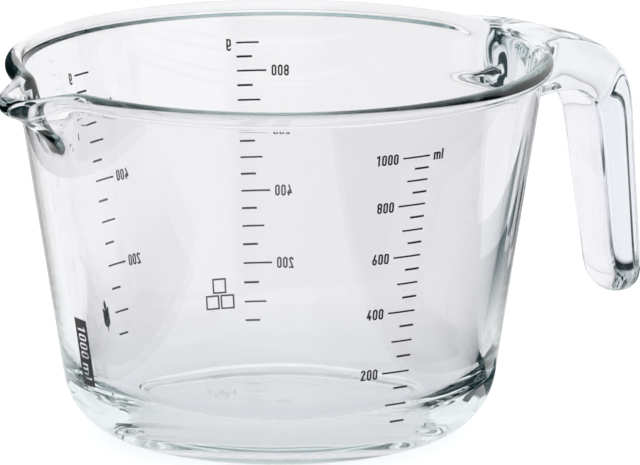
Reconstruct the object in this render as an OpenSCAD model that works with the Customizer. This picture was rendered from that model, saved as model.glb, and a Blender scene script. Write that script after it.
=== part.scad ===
// Glass measuring jug: a conical bowl with a pouring lip, an open handle that
// hangs from the rim, and three printed scales in fired enamel. Millimetres.
// The origin is the middle of the foot on the table, +X runs to the handle,
// the spout points to -X and +Z is up.

/* [Bowl] */
// Outside diameter of the rolled rim
rim_d = 154; // [146:1:162]
// Height of the rim's crest above the table
bowl_h = 107.4; // [103:0.2:114]
// Lean of the straight wall from the vertical, in degrees
wall_lean = 9; // [7:0.5:11]
// Thickness of the wall, square to its surface
wall_t = 4.2; // [3.4:0.1:5]
// Radius of the rounding between the wall and the foot
base_corner_r = 19.5; // [16:0.5:23]
// Thickness of the bottom
floor_t = 8; // [6.5:0.25:10]
// Radius of the rounding between the wall and the bottom inside
inner_corner_r = 16; // [12:0.5:20]

/* [Rim] */
// Radius of the roll along the outside and the inside of the rim
lip_r = 2.6; // [2.2:0.1:3]
// Reach of the roll past the line of the wall
lip_overhang = 2.3; // [1.6:0.1:2.6]
// Radius of the hollow blend from the wall into the roll
lip_blend_r = 6; // [4:0.5:8]

/* [Spout] */
// Reach of the spout past the rim
spout_reach = 11.8; // [9:0.1:14]
// Radius of the spout's round edge, seen from above
spout_r = 13; // [11:0.25:16]
// Drop of the spout's edge under the rim's crest
spout_dip = 2.8; // [1:0.1:3.6]
// Length of the ramp from the rim's crest down to the spout's edge
dip_run = 14; // [8:0.5:20]
// Depth of the ridge under the spout, from the rim's crest to the wall
spout_drop = 20.7; // [17:0.1:24]
// Lean of the ridge under the spout from the vertical, in degrees
ridge_lean = 45; // [38:1:50]
// Width of the opening that is scooped out of the rim at the spout
scoop_w = 24; // [20:0.5:28]
// Radius of this scoop
scoop_r = 16; // [15:0.5:20]

/* [Handle] */
// Clear room for the fingers, from the rim to the inside of the grip
finger_gap = 19.4; // [16:0.1:24]
// Inside radius of the bend at the top of the finger gap
bend_r = 8; // [6:0.25:10]
// Depth of the bridge that carries the handle at the rim
bridge_t = 14.2; // [12:0.1:17]
// Drop from the rim's crest to the top of the bridge, at the bend
bridge_drop = 3.2; // [2:0.1:6]
// Width of the bridge
bridge_w = 28; // [24:0.5:32]
// Extra thickness in the middle of the bend
bend_bulge = 0.7; // [0:0.1:1.6]
// Thickness of the grip where the bend ends
grip_t = 15; // [11:0.2:17]
// Thickness of the grip at its free end
grip_end_t = 12; // [9:0.2:14]
// Width of the grip where the bend ends
grip_w = 25; // [20:0.5:30]
// Width of the grip at its free end
grip_end_w = 20; // [15:0.5:25]
// Lean of the grip outwards, in degrees
grip_lean = 6; // [2:0.2:9]
// Height of the grip's free end above the table
grip_end_z = 27; // [18:0.5:40]
// Length of the rounding at the grip's free end
grip_round = 7; // [5:0.5:9]
// Widening of the top of the bridge on each side where it meets the rim
root_flare_w = 6; // [3:0.5:9]
// Length over which the bridge widens
root_flare_len = 10; // [7:0.5:13]
// Length over which the bridge's top falls from the rim to the bend
root_fall_len = 6.5; // [5:0.25:10]

/* [Scales] */
// Thickness of the fired enamel
print_t = 0.15; // [0.1:0.01:0.3]
// Bearing of the ends of the millilitre marks, in degrees
ml_bearing = -85; // [-95:1:-75]
// Bearing of the ends of the sugar marks, in degrees
sugar_bearing = 70; // [62:1:76]
// Bearing of the ends of the flour marks, in degrees
flour_bearing = 115; // [108:1:122]
// Grams of sugar in a millilitre
sugar_density = 0.86; // [0.8:0.01:0.95]
// Grams of flour in a millilitre
flour_density = 0.7; // [0.5:0.01:0.75]
// Length of a mark with a number
long_mark = 8.6; // [7:0.1:10]
// Length of a mark at a full hundred without a number
middle_mark = 6.6; // [5:0.1:8]
// Length of a mark at a fifty
short_mark = 4.5; // [3:0.1:6]
// Thickness of the marks' lines at full hundreds
mark_line = 0.48; // [0.3:0.02:0.6]
// Thickness of the marks' lines at fifties
short_line = 0.58; // [0.4:0.02:0.7]
// Height of the numbers
digit_h = 3.1; // [2.4:0.1:4]
// Width of a digit
digit_w = 1.4; // [1.3:0.05:1.8]
// Thickness of the numbers' strokes
digit_line = 0.48; // [0.3:0.02:0.5]
// Clear space between two digits
digit_gap = 0.4; // [0.3:0.05:0.8]
// Clear space between a mark and its number or unit
number_gap = 1.5; // [1:0.1:2.5]

/* [Symbols] */
// Height of the signs for sugar and for flour
symbol_h = 9; // [7:0.25:11]
// Height of the middle of these signs above the table
symbol_z = 23.6; // [22:0.1:30]
// Clear space between the marks' ends and the signs
symbol_gap = 3; // [2:0.1:5]
// Height of the dark block under the spout, which states the capacity
capacity_h = 19.4; // [16:0.2:22]
// Width of this block
capacity_w = 6.3; // [5:0.1:8]
// Height of the clear figures in this block
capacity_figure_h = 4.4; // [3:0.1:4.8]
// Height of the middle of this block above the table
capacity_z = 29.3; // [28.5:0.1:45]

/* [Hidden] */
$fn = 96;

glass_colour = [0.86, 0.92, 0.92, 0.55];
enamel_colour = [0.12, 0.12, 0.14];

// Steps of an arc, and how far a cut runs past the surface that it opens
arc_steps = 16;
cut_past = 5;

rim_r = rim_d / 2;
lean_tan = tan(wall_lean);
lean_cos = cos(wall_lean);
lip_z = bowl_h - lip_r;

function mix(a, b, share) = a + (b - a) * share;
function ease(share) = share * share * (3 - 2 * share);
function wall_r(z) = rim_r - lip_overhang - (lip_z - z) * lean_tan;
function inner_r(z) = wall_r(z) - wall_t / lean_cos;
function arc(centre, r, from, to) =
    [for (i = [0 : arc_steps]) let (a = from + (to - from) * i / arc_steps)
        centre + r * [cos(a), sin(a)]];

// Centres of the roundings outside and inside, which touch the wall and the flat
foot_r = wall_r(base_corner_r) - base_corner_r / lean_cos;
floor_r = inner_r(floor_t + inner_corner_r) - inner_corner_r / lean_cos;
foot_centre = [foot_r, base_corner_r];
floor_centre = [floor_r, floor_t + inner_corner_r];

// Rolls of the rim and the hollow blend, which touches the wall and the outer roll
lip_out = [rim_r - lip_r, lip_z];
lip_in_r = inner_r(lip_z) + lip_r / lean_cos;
lip_in = [min(lip_in_r, lip_out[0]), lip_z];
roll_off_wall = (lip_out[0] - wall_r(lip_z)) * lean_cos;
blend_fall = sqrt(pow(lip_blend_r + lip_r, 2) - pow(lip_blend_r - roll_off_wall, 2));
blend_centre = lip_out
    + (lip_blend_r - roll_off_wall) * [lean_cos, -sin(wall_lean)]
    - blend_fall * [sin(wall_lean), lean_cos];
blend_angle = atan2(lip_out[1] - blend_centre[1], lip_out[0] - blend_centre[0]);
print_top_z = blend_centre[1] + lip_blend_r * sin(wall_lean);

// Volume of the bowl up to a height, in millilitres, and the height for a volume
floor_top = floor_centre[1] - inner_corner_r * sin(wall_lean);
function half_chord(u) = sqrt(max(0, pow(inner_corner_r, 2) - u * u));
function corner_part(u) =
    floor_r * floor_r * u
    + floor_r * (u * half_chord(u) + pow(inner_corner_r, 2) * asin(u / inner_corner_r) * PI / 180)
    + pow(inner_corner_r, 2) * u - pow(u, 3) / 3;
function corner_volume(z) = PI * (corner_part(inner_corner_r) - corner_part(floor_centre[1] - z));
function wall_volume(z) = PI * (pow(inner_r(z), 3) - pow(inner_r(floor_top), 3)) / (3 * lean_tan);
function volume(z) =
    (z < floor_top ? corner_volume(z) : corner_volume(floor_top) + wall_volume(z)) / 1000;
halvings = 40;
function fill_z(v, low = floor_t, high = 2 * bowl_h, turn = 0) =
    let (mid = (low + high) / 2)
    turn == halvings ? mid
    : volume(mid) < v ? fill_z(v, mid, high, turn + 1) : fill_z(v, low, mid, turn + 1);

module revolve(points) {
    rotate_extrude() polygon(points);
}

module bowl_outside() {
    revolve(concat(
        [[0, 0]],
        arc(foot_centre, base_corner_r, -90, -wall_lean),
        arc(blend_centre, lip_blend_r, 180 - wall_lean, blend_angle),
        arc(lip_out, lip_r, blend_angle - 180, 90),
        [[0, bowl_h]]));
}

module bowl_inside() {
    revolve(concat(
        [[0, floor_t]],
        arc(floor_centre, inner_corner_r, -90, -wall_lean),
        arc(lip_in, lip_r, 180 - wall_lean, 90),
        [[lip_in[0], bowl_h + cut_past], [0, bowl_h + cut_past]]));
}

// The spout has a round edge about an upright axis. A leaning cone under it, with one
// side upright, makes the ridge outside and a second one the channel inside, and a
// ball scoops the rim out between the bowl and the channel.
spout_x = rim_r + spout_reach - spout_r;
spout_z = lip_z - spout_dip;
spout_crest = bowl_h - spout_dip;
channel_tip = inner_r(lip_z) + spout_reach;
scoop_x = channel_tip - scoop_w / 2;
scoop_z = spout_crest + sqrt(pow(scoop_r, 2) - pow(scoop_w / 2, 2));
ridge_tan = tan(ridge_lean);
ridge_z = bowl_h - spout_drop;
channel_z = spout_crest - (channel_tip - inner_r(spout_crest)) / (ridge_tan - lean_tan);
cone_bury = 2;

module leaning_cone(side_x, side_z, top) {
    run = 2 * (top - side_z + cone_bury);
    intersection() {
        translate([cone_bury * ridge_tan - side_x, 0, side_z - cone_bury])
            rotate([0, -ridge_lean / 2, 0])
                cylinder(h = run, r1 = 0, r2 = run * tan(ridge_lean / 2));
        cylinder(h = top, r = 2 * rim_r);
    }
}

module spout_outside() {
    translate([-spout_x, 0, 0])
        revolve(concat(
            [[0, spout_z - lip_r]],
            arc([spout_r - lip_r, spout_z], lip_r, -90, 90),
            [[0, spout_crest]]));
    leaning_cone(wall_r(ridge_z), ridge_z, spout_z);
}

module spout_inside() {
    ramp_r = spout_r - 1.2 * lip_r;
    translate([-spout_x, 0, 0])
        revolve([[0, spout_crest - lip_r / 2], [ramp_r, spout_crest], [ramp_r + dip_run, bowl_h],
                 [ramp_r + dip_run, bowl_h + cut_past], [0, bowl_h + cut_past]]);
    translate([-scoop_x, 0, scoop_z])
        sphere(scoop_r);
    leaning_cone(inner_r(channel_z), channel_z, spout_crest);
}

module glass_bowl() {
    color(glass_colour)
        difference() {
            union() {
                bowl_outside();
                spout_outside();
            }
            bowl_inside();
            spout_inside();
        }
}

// The handle is swept along its middle line: bridge, bend, grip and rounded end.
// A station holds its middle, its direction, half its thickness, half its width and
// how far its top spreads to each side, and how square its corners are.
bend_x = rim_r + finger_gap - bend_r;
bend_top = bowl_h - bridge_drop;
bend_z = bend_top - bridge_t - bend_r;
root_x = rim_r - lip_overhang - wall_t;
root_rise = bridge_drop - lip_r / 8;
bend_turn = 90 - grip_lean;
grip_mid_r = bend_r + grip_t / 2;
grip_start = [bend_x + grip_mid_r * cos(grip_lean), bend_z + grip_mid_r * sin(grip_lean)];
grip_run = (grip_start[1] - grip_end_z) / cos(grip_lean) - grip_round;
grip_axis = [sin(grip_lean), -cos(grip_lean)];
bridge_steps = 10;
bend_steps = 12;
grip_steps = 5;
round_steps = 6;
ring_sides = 28;
root_power = 4.5;
grip_power = 3;

function flare(x) = pow(max(0, 1 - max(0, x - rim_r) / root_flare_len), 2.4);

bridge = [for (i = [0 : bridge_steps - 1])
    let (x = mix(root_x, bend_x, i / bridge_steps),
         top = bend_top + root_rise * ease(min(1, (bend_x - x) / root_fall_len)),
         low = bend_top - bridge_t)
    [[x, (top + low) / 2], [1, 0], (top - low) / 2, bridge_w / 2, root_flare_w * flare(x), root_power]];
bend = [for (i = [0 : bend_steps])
    let (share = i / bend_steps,
         turn = bend_turn * share,
         t = mix(bridge_t, grip_t, ease(share)) + bend_bulge * sin(180 * share))
    [[bend_x, bend_z] + (bend_r + t / 2) * [sin(turn), cos(turn)], [cos(turn), -sin(turn)],
     t / 2, mix(bridge_w, grip_w, ease(share)) / 2, 0, mix(root_power, grip_power, share)]];
grip = [for (i = [1 : grip_steps])
    let (share = i / grip_steps)
    [grip_start + grip_run * share * grip_axis, grip_axis,
     mix(grip_t, grip_end_t, share) / 2, mix(grip_w, grip_end_w, share) / 2, 0, grip_power]];
rounded_end = [for (i = [1 : round_steps])
    let (a = 90 * (i - 0.25) / round_steps)
    [grip_start + (grip_run + grip_round * sin(a)) * grip_axis, grip_axis,
     grip_end_t / 2 * cos(a), grip_end_w / 2 * cos(a), 0, grip_power]];
stations = concat(bridge, bend, grip, rounded_end);

function rounded(v, power) = sign(v) * pow(abs(v), 2 / power);
function ring(station) =
    let (middle = station[0], way = station[1], normal = [-way[1], way[0]])
    [for (k = [0 : ring_sides - 1])
        let (a = 360 * (k + 0.5) / ring_sides,
             lift = rounded(cos(a), station[5]),
             spread = station[3] + station[4] * pow((1 + lift) / 2, 1.5),
             p = middle + station[2] * lift * normal)
        [p[0], spread * rounded(sin(a), station[5]), p[1]]];
function sweep_faces(rings) = concat(
    [[for (k = [0 : ring_sides - 1]) ring_sides - 1 - k]],
    [for (i = [0 : rings - 2], k = [0 : ring_sides - 1])
        let (a = i * ring_sides + k, b = i * ring_sides + (k + 1) % ring_sides)
        [a, b, b + ring_sides]],
    [for (i = [0 : rings - 2], k = [0 : ring_sides - 1])
        let (a = i * ring_sides + k, b = i * ring_sides + (k + 1) % ring_sides)
        [a, b + ring_sides, a + ring_sides]],
    [[for (k = [0 : ring_sides - 1]) (rings - 1) * ring_sides + k]]);

module handle() {
    color(glass_colour)
        difference() {
            polyhedron([for (s = stations) each ring(s)], sweep_faces(len(stations)));
            bowl_outside();
        }
}

// The enamel is a thin skin on the wall, from which every mark is cut
module enamel_skin() {
    outer_arc = arc(foot_centre, base_corner_r + print_t, -60, -wall_lean);
    inner_arc = arc(foot_centre, base_corner_r, -wall_lean, -60);
    color(enamel_colour)
        revolve(concat(
            outer_arc,
            [[wall_r(print_top_z) + print_t / lean_cos, print_top_z], [wall_r(print_top_z), print_top_z]],
            inner_arc));
}

// Sets a flat figure upright against the wall, with its right towards a growing bearing
module stamp(bearing, z, shift = 0) {
    turn = bearing + shift / wall_r(z) * 180 / PI;
    rotate([0, 0, turn])
        rotate([90, 0, 90])
            translate([0, z, wall_r(z) - cut_past])
                linear_extrude(2 * cut_past)
                    children();
}

module printed() {
    intersection() {
        enamel_skin();
        union() children();
    }
}

// Strokes and rings that the numbers and signs are drawn with
module stroke(from, to, line) {
    run = to - from;
    translate(from)
        rotate(atan2(run[1], run[0]))
            translate([0, -line / 2])
                square([norm(run), line]);
}

module oblong(w, h) {
    square([w, h - w], center = true);
    for (side = [-1, 1])
        translate([0, side * (h - w) / 2])
            circle(d = w);
}

module oblong_ring(w, h, line) {
    difference() {
        oblong(w, h);
        oblong(w - 2 * line, h - 2 * line);
    }
}

module digit(figure) {
    half = (digit_w - digit_line) / 2;
    rise = (digit_h - digit_line) / 2;
    if (figure == 0) {
        oblong_ring(digit_w, digit_h, digit_line);
    } else if (figure == 1) {
        stroke([half / 2, -digit_h / 2], [half / 2, digit_h / 2], digit_line);
        stroke([-half, rise - half * 0.9], [half / 2, rise], digit_line);
    } else if (figure == 2) {
        intersection() {
            oblong_ring(digit_w, digit_h, digit_line);
            translate([-digit_w, digit_h / 4])
                square([2 * digit_w, digit_h]);
        }
        stroke([half, digit_h / 4 + digit_line / 4], [-half, -rise], digit_line);
        stroke([-digit_w / 2, -rise], [digit_w / 2, -rise], digit_line);
    } else if (figure == 4) {
        stroke([half / 2, digit_h / 2], [-half, -rise / 2], digit_line);
        stroke([-digit_w / 2, -rise / 2], [digit_w / 2, -rise / 2], digit_line);
        stroke([half / 2, 0], [half / 2, -digit_h / 2], digit_line);
    } else if (figure == 6) {
        bowl = digit_h * 0.58;
        translate([0, (bowl - digit_h) / 2])
            oblong_ring(digit_w, bowl, digit_line);
        stroke([-half, (bowl - digit_h) / 2], [half / 2, digit_h / 2], digit_line);
    } else if (figure == 8) {
        eye = (digit_h + digit_line) / 2;
        for (side = [-1, 1])
            translate([0, side * (digit_h - eye) / 2])
                oblong_ring(digit_w, eye, digit_line);
    }
}

// A scale: its marks, numbers and unit. grams is the weight of one millilitre, and
// a mark is left out where the bowl is too small to hold that much.
mark_step = 50;
number_step = 200;
scale_top_z = print_top_z - digit_h / 2;
function scale_z(value, grams) = fill_z(value / grams);
function scale_values(grams, top) =
    [for (v = [mark_step : mark_step : top]) if (scale_z(v, grams) < scale_top_z) v];
function mark_length(v) =
    v % number_step == 0 ? long_mark : v % (2 * mark_step) == 0 ? middle_mark : short_mark;
function figures(v) = v < 10 ? [v] : concat(figures(floor(v / 10)), [v % 10]);

module scale_marks(bearing, grams, top) {
    printed()
        for (v = scale_values(grams, top))
            stamp(bearing, scale_z(v, grams), -mark_length(v) / 2)
                square([mark_length(v), v % (2 * mark_step) == 0 ? mark_line : short_line], center = true);
}

module scale_numbers(bearing, grams, top) {
    pitch = digit_w + digit_gap;
    printed()
        for (v = scale_values(grams, top))
            if (v % number_step == 0)
                for (i = [0 : len(figures(v)) - 1])
                    stamp(bearing, scale_z(v, grams),
                          -long_mark - number_gap - digit_w / 2 - pitch * (len(figures(v)) - 1 - i))
                        digit(figures(v)[i]);
}

module scale_unit(bearing, grams, top) {
    values = scale_values(grams, top);
    printed()
        stamp(bearing, scale_z(values[len(values) - 1], grams), number_gap)
            children();
}

module arch(w, line) {
    difference() {
        circle(d = w);
        circle(d = w - 2 * line);
        translate([-w, -2 * w])
            square(2 * w);
    }
}

ml_letters_w = 2 * digit_w + digit_gap;

module letters_ml() {
    low = -digit_h / 2;
    x_height = digit_h * 0.72;
    for (i = [0 : 2])
        translate([i * (digit_w - digit_line), low])
            square([digit_line, x_height - (i > 0 ? digit_w / 2 : 0)]);
    for (i = [0, 1])
        translate([i * (digit_w - digit_line) + digit_w / 2, low + x_height - digit_w / 2])
            arch(digit_w, digit_line);
    translate([ml_letters_w - digit_line, low])
        square([digit_line, digit_h]);
}

module letter_g() {
    x_height = digit_h * 0.72;
    tail = digit_h / 2;
    translate([digit_w / 2, 0]) {
        oblong_ring(digit_w, x_height, digit_line);
        translate([digit_w / 2 - digit_line, -tail])
            square([digit_line, tail + x_height / 2]);
        translate([0, -tail])
            mirror([0, 1])
                arch(digit_w, digit_line);
    }
}

ml_top = 1000;
sugar_top = 900;
flour_top = 700;

module ml_marks() {
    scale_marks(ml_bearing, 1, ml_top);
}

module ml_numbers() {
    scale_numbers(ml_bearing, 1, ml_top);
}

module ml_unit() {
    scale_unit(ml_bearing, 1, ml_top) letters_ml();
}

module sugar_marks() {
    scale_marks(sugar_bearing, sugar_density, sugar_top);
}

module sugar_numbers() {
    scale_numbers(sugar_bearing, sugar_density, sugar_top);
}

module sugar_unit() {
    scale_unit(sugar_bearing, sugar_density, sugar_top) letter_g();
}

module flour_marks() {
    scale_marks(flour_bearing, flour_density, flour_top);
}

module flour_numbers() {
    scale_numbers(flour_bearing, flour_density, flour_top);
}

module flour_unit() {
    scale_unit(flour_bearing, flour_density, flour_top) letter_g();
}

// Plain signs: three stacked lumps for sugar, an ear of grain for flour
module sugar_symbol() {
    lump = (symbol_h - digit_gap) / 2;
    pitch = lump + digit_gap;
    printed()
        stamp(sugar_bearing, symbol_z, symbol_gap + pitch)
            for (spot = [[-pitch / 2, -pitch / 2], [pitch / 2, -pitch / 2], [0, pitch / 2]])
                translate(spot)
                    difference() {
                        square(lump, center = true);
                        square(lump - 2 * digit_line, center = true);
                    }
}

module grain(length) {
    bulge = length * 0.75;
    intersection_for (side = [-1, 1])
        translate([side * (bulge - length / 4), length / 2])
            circle(r = bulge);
}

module flour_symbol() {
    grain_l = symbol_h * 0.3;
    grain_lean = 32;
    pairs = 3;
    printed()
        stamp(flour_bearing, symbol_z, symbol_gap + grain_l) {
            stroke([0, -symbol_h / 2], [0, symbol_h / 2 - grain_l], digit_line);
            translate([0, symbol_h / 2 - grain_l])
                grain(grain_l);
            for (i = [1 : pairs], side = [-1, 1])
                translate([side * digit_line / 2, symbol_h / 2 - grain_l * (1 + 0.62 * i)])
                    rotate(-side * grain_lean)
                        grain(grain_l);
        }
}

// Capacity of the scale, left clear in a dark block under the spout and read downwards
module capacity_mark() {
    capacity = figures(ml_top);
    pitch = digit_w + digit_gap;
    start = (digit_w / 2 - pitch * len(capacity) - ml_letters_w) / 2;
    printed()
        stamp(180, capacity_z)
            difference() {
                square([capacity_w, capacity_h], center = true);
                rotate(-90)
                    scale(capacity_figure_h / digit_h) {
                        for (i = [0 : len(capacity) - 1])
                            translate([start + pitch * i, 0])
                                digit(capacity[i]);
                        translate([start + pitch * len(capacity), 0])
                            letters_ml();
                    }
            }
}

glass_bowl();
handle();
ml_marks();
ml_numbers();
ml_unit();
sugar_marks();
sugar_numbers();
sugar_unit();
sugar_symbol();
flour_marks();
flour_numbers();
flour_unit();
flour_symbol();
capacity_mark();
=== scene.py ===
import math

import bmesh
import bpy
from mathutils import Matrix, Vector


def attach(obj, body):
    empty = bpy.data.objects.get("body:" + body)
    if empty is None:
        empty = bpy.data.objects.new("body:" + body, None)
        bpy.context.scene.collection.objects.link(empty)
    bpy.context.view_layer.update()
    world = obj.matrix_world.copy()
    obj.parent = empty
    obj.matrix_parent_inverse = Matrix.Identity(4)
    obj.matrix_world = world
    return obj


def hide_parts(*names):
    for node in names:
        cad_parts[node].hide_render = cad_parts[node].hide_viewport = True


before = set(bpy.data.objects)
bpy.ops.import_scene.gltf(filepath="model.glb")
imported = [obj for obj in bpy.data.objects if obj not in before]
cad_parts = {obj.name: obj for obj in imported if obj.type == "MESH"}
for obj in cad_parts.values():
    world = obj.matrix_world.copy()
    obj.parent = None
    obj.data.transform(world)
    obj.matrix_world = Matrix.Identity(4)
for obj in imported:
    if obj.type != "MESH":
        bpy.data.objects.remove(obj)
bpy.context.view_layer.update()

# Bowl: clear soda-lime glass, pressed in a mould in one piece with its rim, spout and handle.
# It is turned from its half section in millimetres, outside upwards and inside downwards, and
# a subdivision surface rounds it, so arcs are drawn a little wide to keep their radius.
WALL_LEAN = 9.0
WALL_TOP_R = 74.7
WALL_TOP_Z = 104.8
WALL_T = 4.25
WALL_T_AT_Z = 61
WALL_TAPER = 0.024
HOLLOW_Z = 1.0
FOOT_CENTRE, FOOT_ROUND = (41.45, 19.5), 19.5
UNDERCUT_CENTRE, UNDERCUT_ROUND, UNDERCUT_END = (74.81, 102.3), 0.5, 92.3
LIP_OUT_CENTRE, LIP_IN_CENTRE, LIP_ROUND = (74.7, 105.1), (73.9, 105.1), 2.3
FLOOR_CENTRE, FLOOR_ROUND, FLOOR_ROUND_END = (37.2, 28.16), 20.0, -78
FLOOR_Z = 7.4
SEGMENTS = 96
CROWDING = 0.5
MERGE_GAP = 0.01


def rounding(centre_r, centre_z, radius, start, end, steps):
    turn = math.radians(end - start) / steps
    wide = 3 / (2 + math.cos(turn)) - 1
    spots = []
    for i in range(steps + 1):
        share = 0.5 if i in (0, steps) else 1.0
        a = math.radians(start) + turn * i
        reach = radius * (1 + wide * share)
        spots.append((centre_r + reach * math.cos(a), centre_z + reach * math.sin(a)))
    return spots


def wall_r(z):
    return WALL_TOP_R - (WALL_TOP_Z - z) * math.tan(math.radians(WALL_LEAN))


def wall_spots(heights, inside=False):
    return [(wall_r(z) - inside * (WALL_T + WALL_TAPER * (WALL_T_AT_Z - z)), z) for z in heights]


half_section = [(r, HOLLOW_Z) for r in (0, 14, 28, 36.5)]
half_section += [(38.5, 0.8), (39.5, 0.1)]
foot_rows = len(half_section)
half_section += rounding(*FOOT_CENTRE, FOOT_ROUND, -90, -WALL_LEAN, 6)
half_section += wall_spots((23, 33, 45, 57, 69, 79, 84, 87, 90, 93, 96.5, 99.7))
half_section += rounding(*UNDERCUT_CENTRE, UNDERCUT_ROUND, 180 - WALL_LEAN, UNDERCUT_END, 2)
half_section += rounding(*LIP_OUT_CENTRE, LIP_ROUND, UNDERCUT_END - 180, 90, 5)[1:]
mould_rows = len(half_section)
half_section += rounding(*LIP_IN_CENTRE, LIP_ROUND, 90, 180 - WALL_LEAN, 2)
half_section += wall_spots((101.5, 97, 93, 89, 84, 76, 64, 52, 40, 31), inside=True)
half_section += rounding(*FLOOR_CENTRE, FLOOR_ROUND, -WALL_LEAN, FLOOR_ROUND_END, 6)
half_section += [(41.0, 8.5), (40.6, 7.9)]
half_section += [(r, FLOOR_Z) for r in (40.3, 39.6, 34, 28, 14, 0)]

glass = bmesh.new()
mould_side = glass.verts.layers.float.new("mould_side")
chain = [glass.verts.new((r, 0, z)) for r, z in half_section]
for v in chain[foot_rows:mould_rows]:
    v[mould_side] = 1.0
links = [glass.edges.new(pair) for pair in zip(chain, chain[1:])]
bmesh.ops.spin(glass, geom=chain + links, cent=(0, 0, 0), axis=(0, 0, 1),
               angle=2 * math.pi, steps=SEGMENTS, use_merge=True)
bmesh.ops.remove_doubles(glass, verts=glass.verts, dist=MERGE_GAP)
bmesh.ops.recalc_face_normals(glass, faces=glass.faces)

# The columns of the turned mesh crowd towards the spout, where its bends are tight.
for v in glass.verts:
    turn = math.atan2(v.co.y, v.co.x)
    gap = 2 * math.pi / SEGMENTS * (1 + CROWDING * math.cos(turn))
    r = v.co.to_2d().length * 3 / (2 + math.cos(gap))
    turn += CROWDING * math.sin(turn)
    v.co.x, v.co.y = r * math.cos(turn), r * math.sin(turn)

# Spout: the hot rim is drawn outwards at one side into a blunt beak, which dips at its tip
# and runs down the wall as a short ridge, with the pouring channel scooped out inside it.
RIM_R = 77.0
SPOUT_REACH = 11.0
SPOUT_DIP = 3.0
DIP_BELOW_RIM = 0.18
RIDGE_Z = 88.6
NECK_Z = 103.0
RIDGE_FOOT_HALF_W = 4.5
RIDGE_WIDENS = 2.5
RIDGE_FLARES = 4.8
CHANNEL_FOOT_HALF_W = 5.0
CHANNEL_WIDENS = 3.6
NECK_HALF_W = 8.6
BEAK_WIDER = 3.2
BEAK_SQUARENESS = 3.2
for v in glass.verts:
    if v.co.x < 0 and v.co.z > RIDGE_Z:
        r, bearing = v.co.to_2d().length, math.atan2(v.co.y, -v.co.x)
        through = min(1.0, max(0.0, (r - wall_r(v.co.z) + WALL_T) / WALL_T))
        rise = min(1.0, (v.co.z - RIDGE_Z) / (NECK_Z - RIDGE_Z))
        if v.co.z > NECK_Z:
            share = 1.0
            half_w = NECK_HALF_W + BEAK_WIDER * through
        elif through > 0.5:
            share = 0.75 * rise + 0.25 * rise ** 4
            half_w = RIDGE_FOOT_HALF_W + RIDGE_WIDENS * rise + RIDGE_FLARES * rise ** 5
        else:
            share = rise ** 1.3
            half_w = CHANNEL_FOOT_HALF_W + CHANNEL_WIDENS * rise
        beak = share * math.exp(-(abs(bearing) * RIM_R / half_w) ** BEAK_SQUARENESS)
        v.co.x -= SPOUT_REACH * beak * math.cos(bearing)
        v.co.y += SPOUT_REACH * beak * math.sin(bearing)
        v.co.z -= SPOUT_DIP * beak ** 1.3 * (1 + DIP_BELOW_RIM * max(0, WALL_TOP_Z - v.co.z))

# Handle: a bar of glass drawn out of the wall under the rim, bent down and rounded off.
# A patch of the wall is pulled along the bar's middle line, one cross-section at a time:
# x and z of its middle, fall in degrees, half depth, half width, roundness, spread at the top.
HANDLE_STEPS = (
    (80.0, 98.5, 0, 8.9, 15.4, 0.10, 4.0),
    (84.0, 98.4, 0, 8.7, 15.2, 0.12, 1.0),
    (88.4, 97.7, 0, 8.0, 15.0, 0.15, 0),
    (93.9, 96.2, 21, 8.1, 14.7, 0.20, 0),
    (98.6, 93.2, 42, 8.4, 14.0, 0.26, 0),
    (102.1, 88.6, 63, 8.1, 13.4, 0.30, 0),
    (103.7, 83.4, 84, 7.6, 12.9, 0.34, 0),
    (104.8, 73.0, 84, 7.2, 12.4, 0.36, 0),
    (106.2, 60.0, 84, 6.85, 11.8, 0.36, 0),
    (107.6, 47.0, 84, 6.5, 11.1, 0.36, 0),
    (108.8, 36.0, 84, 6.2, 10.5, 0.37, 0),
    (109.2, 32.4, 84, 6.0, 10.0, 0.40, 0),
    (109.5, 29.6, 84, 5.1, 8.6, 0.45, 0),
    (109.7, 27.9, 84, 3.2, 5.4, 0.48, 0),
)
ROOT_HALF_TURN = math.radians(18)
ROOT_LOW_Z = 89.7
CREST_R = 74.6
CREST_Z = 106.5
ROW_STRIDE = 16
MILLIMETRE = 0.001
spot = glass.verts.layers.int.new("spot")
patch = []
for f in glass.faces:
    middle = f.calc_center_median()
    r = middle.to_2d().length
    outside = r > wall_r(middle.z) - 1 and (middle.z < CREST_Z or r > CREST_R)
    if outside and middle.z > ROOT_LOW_Z and abs(math.atan2(middle.y, middle.x)) < ROOT_HALF_TURN:
        patch.append(f)
patch_verts = {v for f in patch for v in f.verts}
levels = sorted({round(v.co.z, 2) for v in patch_verts})
columns = sorted({round(math.atan2(v.co.y, v.co.x), 3) for v in patch_verts})
for v in patch_verts:
    column = columns.index(round(math.atan2(v.co.y, v.co.x), 3))
    v[spot] = levels.index(round(v.co.z, 2)) * ROW_STRIDE + column
for x, z, fall, half_t, half_w, roundness, spread in HANDLE_STEPS:
    made = bmesh.ops.extrude_face_region(glass, geom=patch)["geom"]
    kept = [f for f in patch if f.is_valid]
    if kept:
        bmesh.ops.delete(glass, geom=kept, context="FACES")
    patch = [g for g in made if isinstance(g, bmesh.types.BMFace)]
    fall = math.radians(fall)
    for v in (g for g in made if isinstance(g, bmesh.types.BMVert)):
        row, column = divmod(v[spot], ROW_STRIDE)
        across = 2 * column / (len(columns) - 1) - 1
        up = 2 * row / (len(levels) - 1) - 1
        side = (half_w + spread * max(0, up) ** 1.5) * across * math.sqrt(1 - roundness * up * up)
        lift = half_t * up * math.sqrt(1 - roundness * across * across)
        v.co = Vector((x + lift * math.sin(fall), side, z + lift * math.cos(fall)))
bmesh.ops.recalc_face_normals(glass, faces=glass.faces)
bmesh.ops.scale(glass, vec=(MILLIMETRE, MILLIMETRE, MILLIMETRE), verts=glass.verts)

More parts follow.
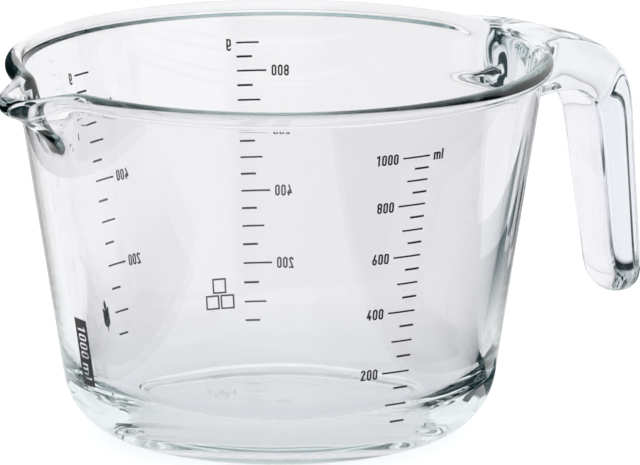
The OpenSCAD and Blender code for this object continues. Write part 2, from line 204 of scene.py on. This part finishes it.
body_mesh = bpy.data.meshes.new("jug_glass")
glass.to_mesh(body_mesh)
glass.free()
for face in body_mesh.polygons:
    face.use_smooth = True
body = bpy.data.objects.new("jug_glass", body_mesh)
bpy.context.scene.collection.objects.link(body)
smooth = body.modifiers.new("press rounding", "SUBSURF")
smooth.levels = smooth.render_levels = 2

# Finish of the glass: clear and fire-polished, faintly green where light runs far inside it.
# The wall and the thick bar of the handle have slightly different tints, and a painted reflection
# colour: teal on the wall, which darkens its edges, and near white on the handle, so that it
# reads lighter. Both blend over the handle's root, and lamp light passes straight through, so the
# shadow stays pale.
HANDLE_TINT_AND_REFLECTION_FROM, HANDLE_TINT_AND_REFLECTION_TO = 0.079, 0.089
clear = bpy.data.materials.new("clear glass")
clear.use_nodes = True
tree = clear.node_tree
pane = tree.nodes["Principled BSDF"]
pane.inputs["Roughness"].default_value = 0.0
pane.inputs["IOR"].default_value = 1.5
pane.inputs["Transmission Weight"].default_value = 1.0
place = tree.nodes.new("ShaderNodeTexCoord")
split = tree.nodes.new("ShaderNodeSeparateXYZ")
toward_handle = tree.nodes.new("ShaderNodeMapRange")
toward_handle.inputs["From Min"].default_value = HANDLE_TINT_AND_REFLECTION_FROM
toward_handle.inputs["From Max"].default_value = HANDLE_TINT_AND_REFLECTION_TO
tree.links.new(place.outputs["Object"], split.inputs["Vector"])
tree.links.new(split.outputs["X"], toward_handle.inputs["Value"])
# Base Color is the glass's tint. Specular Tint paints the reflections: teal on the wall to darken its
# edges, near white on the handle so that it reads lighter.
for socket, in_wall, in_handle in (("Base Color", (0.94, 0.935, 0.952, 1), (0.93, 0.915, 0.955, 1)),
                                   ("Specular Tint", (0.86, 0.92, 0.915, 1), (0.98, 0.985, 0.99, 1))):
    tint_and_reflection_here = tree.nodes.new("ShaderNodeMix")
    tint_and_reflection_here.data_type = "RGBA"
    tint_and_reflection_here.inputs["A"].default_value = in_wall
    tint_and_reflection_here.inputs["B"].default_value = in_handle
    tree.links.new(toward_handle.outputs["Result"], tint_and_reflection_here.inputs["Factor"])
    tree.links.new(tint_and_reflection_here.outputs["Result"], pane.inputs[socket])

lamps_through = tree.nodes.new("ShaderNodeBsdfTransparent")
lamps_through.inputs["Color"].default_value = (0.9, 0.905, 0.91, 1)
path = tree.nodes.new("ShaderNodeLightPath")
lamp_ray = tree.nodes.new("ShaderNodeMath")
lamp_ray.operation = "MAXIMUM"
either = tree.nodes.new("ShaderNodeMixShader")
tree.links.new(path.outputs["Is Shadow Ray"], lamp_ray.inputs[0])
tree.links.new(path.outputs["Is Diffuse Ray"], lamp_ray.inputs[1])
tree.links.new(lamp_ray.outputs["Value"], either.inputs["Fac"])
tree.links.new(pane.outputs["BSDF"], either.inputs[1])
tree.links.new(lamps_through.outputs["BSDF"], either.inputs[2])
tree.links.new(either.outputs["Shader"], tree.nodes["Material Output"].inputs["Surface"])
green = tree.nodes.new("ShaderNodeVolumeAbsorption")
green.inputs["Color"].default_value = (0.35, 0.75, 0.75, 1)
green.inputs["Density"].default_value = 2.0
tree.links.new(green.outputs["Volume"], tree.nodes["Material Output"].inputs["Volume"])

# Press ripples: where the hot glass first met the cold mould, the outside near the foot has
# shallow level waves, which fade out upwards and stay off the inside and the underside.
RIPPLES_END_Z, RIPPLES_FULL_Z = 0.034, 0.018
waves_stretch = tree.nodes.new("ShaderNodeMapping")
waves_stretch.inputs["Scale"].default_value = (70, 70, 420)
waves = tree.nodes.new("ShaderNodeTexNoise")
waves.inputs["Scale"].default_value = 1.0
waves.inputs["Detail"].default_value = 0.0
near_foot = tree.nodes.new("ShaderNodeMapRange")
near_foot.inputs["From Min"].default_value = RIPPLES_END_Z
near_foot.inputs["From Max"].default_value = RIPPLES_FULL_Z
near_foot.inputs["To Max"].default_value = 0.1
from_mould = tree.nodes.new("ShaderNodeAttribute")
from_mould.attribute_name = "mould_side"
chilled = tree.nodes.new("ShaderNodeMath")
chilled.operation = "MULTIPLY"
ripple = tree.nodes.new("ShaderNodeBump")
ripple.inputs["Distance"].default_value = 0.0004
tree.links.new(place.outputs["Object"], waves_stretch.inputs["Vector"])
tree.links.new(waves_stretch.outputs["Vector"], waves.inputs["Vector"])
tree.links.new(split.outputs["Z"], near_foot.inputs["Value"])
tree.links.new(near_foot.outputs["Result"], chilled.inputs[0])
tree.links.new(from_mould.outputs["Fac"], chilled.inputs[1])
tree.links.new(chilled.outputs["Value"], ripple.inputs["Strength"])
tree.links.new(waves.outputs["Fac"], ripple.inputs["Height"])
tree.links.new(ripple.outputs["Normal"], pane.inputs["Normal"])
body_mesh.materials.append(clear)
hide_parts("glass_bowl", "handle")
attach(body, "root")

# Prints: the scales, numbers and signs are dark ceramic enamel, screen-printed on the
# outside of the wall and fired on, so they are thin, hard and slightly glossy.
enamel = bpy.data.materials.new("fired enamel")
enamel.use_nodes = True
tree = enamel.node_tree
ink = tree.nodes["Principled BSDF"]
ink.inputs["Base Color"].default_value = (0.012, 0.012, 0.014, 1)
place = tree.nodes.new("ShaderNodeTexCoord")
grain = tree.nodes.new("ShaderNodeTexNoise")
grain.inputs["Scale"].default_value = 900
gloss = tree.nodes.new("ShaderNodeMapRange")
gloss.inputs["To Min"].default_value = 0.3
gloss.inputs["To Max"].default_value = 0.55
tree.links.new(place.outputs["Object"], grain.inputs["Vector"])
tree.links.new(grain.outputs["Fac"], gloss.inputs["Value"])
tree.links.new(gloss.outputs["Result"], ink.inputs["Roughness"])
for name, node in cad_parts.items():
    if name not in ("glass_bowl", "handle"):
        node.data.materials.clear()
        node.data.materials.append(enamel)

# Table top: a wide board of matt white paper that the jug stands on, a hair below its foot.
# It glows a little for the camera alone, so that it reads as white around the jug.
TABLE_HALF_W = 6.0
TABLE_Z = -0.0004
TABLE_GLOW = 0.2
floor_mesh = bpy.data.meshes.new("table_top")
top = bmesh.new()
bmesh.ops.create_grid(top, x_segments=1, y_segments=1, size=TABLE_HALF_W)
bmesh.ops.translate(top, vec=(0, 0, TABLE_Z), verts=top.verts)
top.to_mesh(floor_mesh)
top.free()
floor = bpy.data.objects.new("table_top", floor_mesh)
bpy.context.scene.collection.objects.link(floor)
paper = bpy.data.materials.new("white table top")
paper.use_nodes = True
tree = paper.node_tree
matt = tree.nodes["Principled BSDF"]
matt.inputs["Base Color"].default_value = (0.9, 0.9, 0.9, 1)
matt.inputs["Roughness"].default_value = 1.0
matt.inputs["Specular IOR Level"].default_value = 0.0
matt.inputs["Emission Color"].default_value = (1, 1, 1, 1)
path = tree.nodes.new("ShaderNodeLightPath")
shown = tree.nodes.new("ShaderNodeMath")
shown.operation = "MULTIPLY"
shown.inputs[1].default_value = TABLE_GLOW
tree.links.new(path.outputs["Is Camera Ray"], shown.inputs[0])
tree.links.new(shown.outputs["Value"], matt.inputs["Emission Strength"])
floor_mesh.materials.append(paper)

# Soft box: a wide round lamp straight above the table, which gives even light and soft shadows.
# The glass doesn't mirror the lamp itself, only the screens of the room.
lamp = bpy.data.lights.new("soft box", "AREA")
lamp.shape = "DISK"
lamp.size = 4.0
lamp.energy = 70
soft_box = bpy.data.objects.new("soft box", lamp)
soft_box.location = (0, 0, 3.0)
soft_box.visible_glossy = soft_box.visible_transmission = False
bpy.context.scene.collection.objects.link(soft_box)

# Room: a dark studio with four white screens that the glass mirrors and shows. Each has the
# direction that it stands in, the cosine at its edge, the height of direction up to which it
# is full, the height at which it has faded out, and its brightness.
SCREENS = (
    ((0.68, 0.73, 0), 0.47, 0.4, 0.95, 1.0),
    ((0.34, -0.94, 0), 0.866, 0.42, 0.62, 1.0),
    ((0, 0, 1), 0.7, 0.9, 2.0, 0.6),
    ((-0.383, -0.663, 0.643), 0.8, 0.95, 2.0, 0.8),
)
SCREEN_SOFTNESS = 0.07
world = bpy.data.worlds.new("studio")
world.use_nodes = True
bpy.context.scene.world = world
tree = world.node_tree
air = tree.nodes["Background"]
place = tree.nodes.new("ShaderNodeTexCoord")
split = tree.nodes.new("ShaderNodeSeparateXYZ")
tree.links.new(place.outputs["Generated"], split.inputs["Vector"])
lit = None
for toward, edge, full_z, top_z, level in SCREENS:
    facing = tree.nodes.new("ShaderNodeVectorMath")
    facing.operation = "DOT_PRODUCT"
    facing.inputs[1].default_value = toward
    tree.links.new(place.outputs["Generated"], facing.inputs[0])
    screen = tree.nodes.new("ShaderNodeMapRange")
    screen.inputs["From Min"].default_value = edge
    screen.inputs["From Max"].default_value = edge + SCREEN_SOFTNESS
    screen.inputs["To Max"].default_value = level
    tree.links.new(facing.outputs["Value"], screen.inputs["Value"])
    low_down = tree.nodes.new("ShaderNodeMapRange")
    low_down.inputs["From Min"].default_value = top_z
    low_down.inputs["From Max"].default_value = full_z
    tree.links.new(split.outputs["Z"], low_down.inputs["Value"])
    patch_of_light = tree.nodes.new("ShaderNodeMath")
    patch_of_light.operation = "MULTIPLY_ADD"
    tree.links.new(screen.outputs["Result"], patch_of_light.inputs[0])
    tree.links.new(low_down.outputs["Result"], patch_of_light.inputs[1])
    if lit:
        tree.links.new(lit, patch_of_light.inputs[2])
    else:
        patch_of_light.inputs[2].default_value = 0.0
    lit = patch_of_light.outputs["Value"]
room = tree.nodes.new("ShaderNodeMix")
room.data_type = "RGBA"
room.inputs["A"].default_value = (0.02, 0.03, 0.035, 1)
room.inputs["B"].default_value = (1, 1, 1, 1)
tree.links.new(lit, room.inputs["Factor"])
tree.links.new(room.outputs["Result"], air.inputs["Color"])

# Dark cards: painted dark reflections, unseen sheets on the table and at the jug's left that
# draw its dark edges. They show only where the glass mirrors them, and each fades out towards
# one side. Each has its colour, width and depth, lean in degrees, and middle, all laid out square to
# the camera.
DARK_CARDS = (
    ("dark_card_right", (0.03, 0.08, 0.09, 1), (0.085, 0.24), 0, (0.1355, 0.15, 0.0005)),
    ("dark_card_foot", (0.02, 0.055, 0.06, 1), (0.027, 0.045), 0, (0.0715, 0.042, 0.0005)),
    ("dark_card_front", (0.01, 0.03, 0.035, 1), (0.3, 0.4), 180, (0.235, -0.17, 0.0005)),
    ("dark_card_left", (0.01, 0.03, 0.035, 1), (0.4, 0.5), 90, (-0.105, 0, 0.26)),
    ("dark_card_spout", (0.01, 0.03, 0.035, 1), (0.08, 0.16), 0, (-0.135, -0.06, 0.0005)),
)
CARDS_TURN = math.radians(-30)
CARD_FADE = 0.6
for name, shade, size, lean, middle in DARK_CARDS:
    # Painted dark reflection: the card's colour is seen only where the glass mirrors it, never by the
    # camera, bounced light or shadows.
    painted_dark_reflection = bpy.data.materials.new(name)
    painted_dark_reflection.use_nodes = True
    tree = painted_dark_reflection.node_tree
    reflected_dark = tree.nodes["Principled BSDF"]
    reflected_dark.inputs["Base Color"].default_value = shade
    reflected_dark.inputs["Specular IOR Level"].default_value = 0.0
    unseen = tree.nodes.new("ShaderNodeBsdfTransparent")
    path = tree.nodes.new("ShaderNodeLightPath")
    mirrored = tree.nodes.new("ShaderNodeMixShader")
    sheet_uv = tree.nodes.new("ShaderNodeTexCoord")
    across = tree.nodes.new("ShaderNodeSeparateXYZ")
    soft_edge = tree.nodes.new("ShaderNodeMapRange")
    soft_edge.interpolation_type = "SMOOTHSTEP"
    soft_edge.inputs["From Max"].default_value = CARD_FADE
    cover = tree.nodes.new("ShaderNodeMath")
    cover.operation = "MINIMUM"
    tree.links.new(sheet_uv.outputs["UV"], across.inputs["Vector"])
    tree.links.new(across.outputs["X"], soft_edge.inputs["Value"])
    tree.links.new(path.outputs["Glossy Depth"], cover.inputs[0])
    tree.links.new(soft_edge.outputs["Result"], cover.inputs[1])
    tree.links.new(cover.outputs["Value"], mirrored.inputs["Fac"])
    tree.links.new(unseen.outputs["BSDF"], mirrored.inputs[1])
    tree.links.new(reflected_dark.outputs["BSDF"], mirrored.inputs[2])
    tree.links.new(mirrored.outputs["Shader"], tree.nodes["Material Output"].inputs["Surface"])
    card_mesh = bpy.data.meshes.new(name)
    sheet = bmesh.new()
    sheet.loops.layers.uv.new("sheet")
    bmesh.ops.create_grid(sheet, x_segments=1, y_segments=1, size=0.5, calc_uvs=True)
    bmesh.ops.scale(sheet, vec=(*size, 1), verts=sheet.verts)
    bmesh.ops.rotate(sheet, matrix=Matrix.Rotation(math.radians(lean), 3, "Y"), verts=sheet.verts)
    bmesh.ops.translate(sheet, vec=middle, verts=sheet.verts)
    bmesh.ops.rotate(sheet, matrix=Matrix.Rotation(CARDS_TURN, 3, "Z"), verts=sheet.verts)
    sheet.to_mesh(card_mesh)
    sheet.free()
    card_mesh.materials.append(painted_dark_reflection)
    card = bpy.data.objects.new(name, card_mesh)
    bpy.context.scene.collection.objects.link(card)
    card.visible_camera = card.visible_diffuse = card.visible_shadow = False

# Camera: a long lens far in front of the jug, 13 degrees above the table top, which sees the
# spout at its left and the handle at its right. It aims at the middle of the bowl and is then
# moved a little in its own plane. Light may cross the thick glass many times.
DISTANCE = 4.62
BEARING, ELEVATION = math.radians(-120), math.radians(12.985)
AIM = Vector((0, 0, 0.05334))
MOVE_RIGHT, MOVE_UP = 0.01136, 0.00299
BOUNCES = 28
away = Vector((math.cos(ELEVATION) * math.cos(BEARING),
               math.cos(ELEVATION) * math.sin(BEARING),
               math.sin(ELEVATION)))
right = Vector((-math.sin(BEARING), math.cos(BEARING), 0))
up = away.cross(right)
lens = bpy.data.cameras.new("long lens")
lens.lens = 925.1
lens.sensor_width = 36
lens.clip_end = 50
camera = bpy.data.objects.new("long lens", lens)
camera.location = AIM + DISTANCE * away + MOVE_RIGHT * right + MOVE_UP * up
camera.rotation_euler = (-away).to_track_quat("-Z", "Y").to_euler()
bpy.context.scene.collection.objects.link(camera)
bpy.context.scene.camera = camera
bpy.context.scene.view_settings.view_transform = "Standard"
bpy.context.scene.cycles.max_bounces = BOUNCES
bpy.context.scene.cycles.transmission_bounces = BOUNCES
bpy.context.scene.cycles.glossy_bounces = BOUNCES
bpy.context.scene.cycles.caustics_refractive = False
bpy.context.scene.cycles.caustics_reflective = False
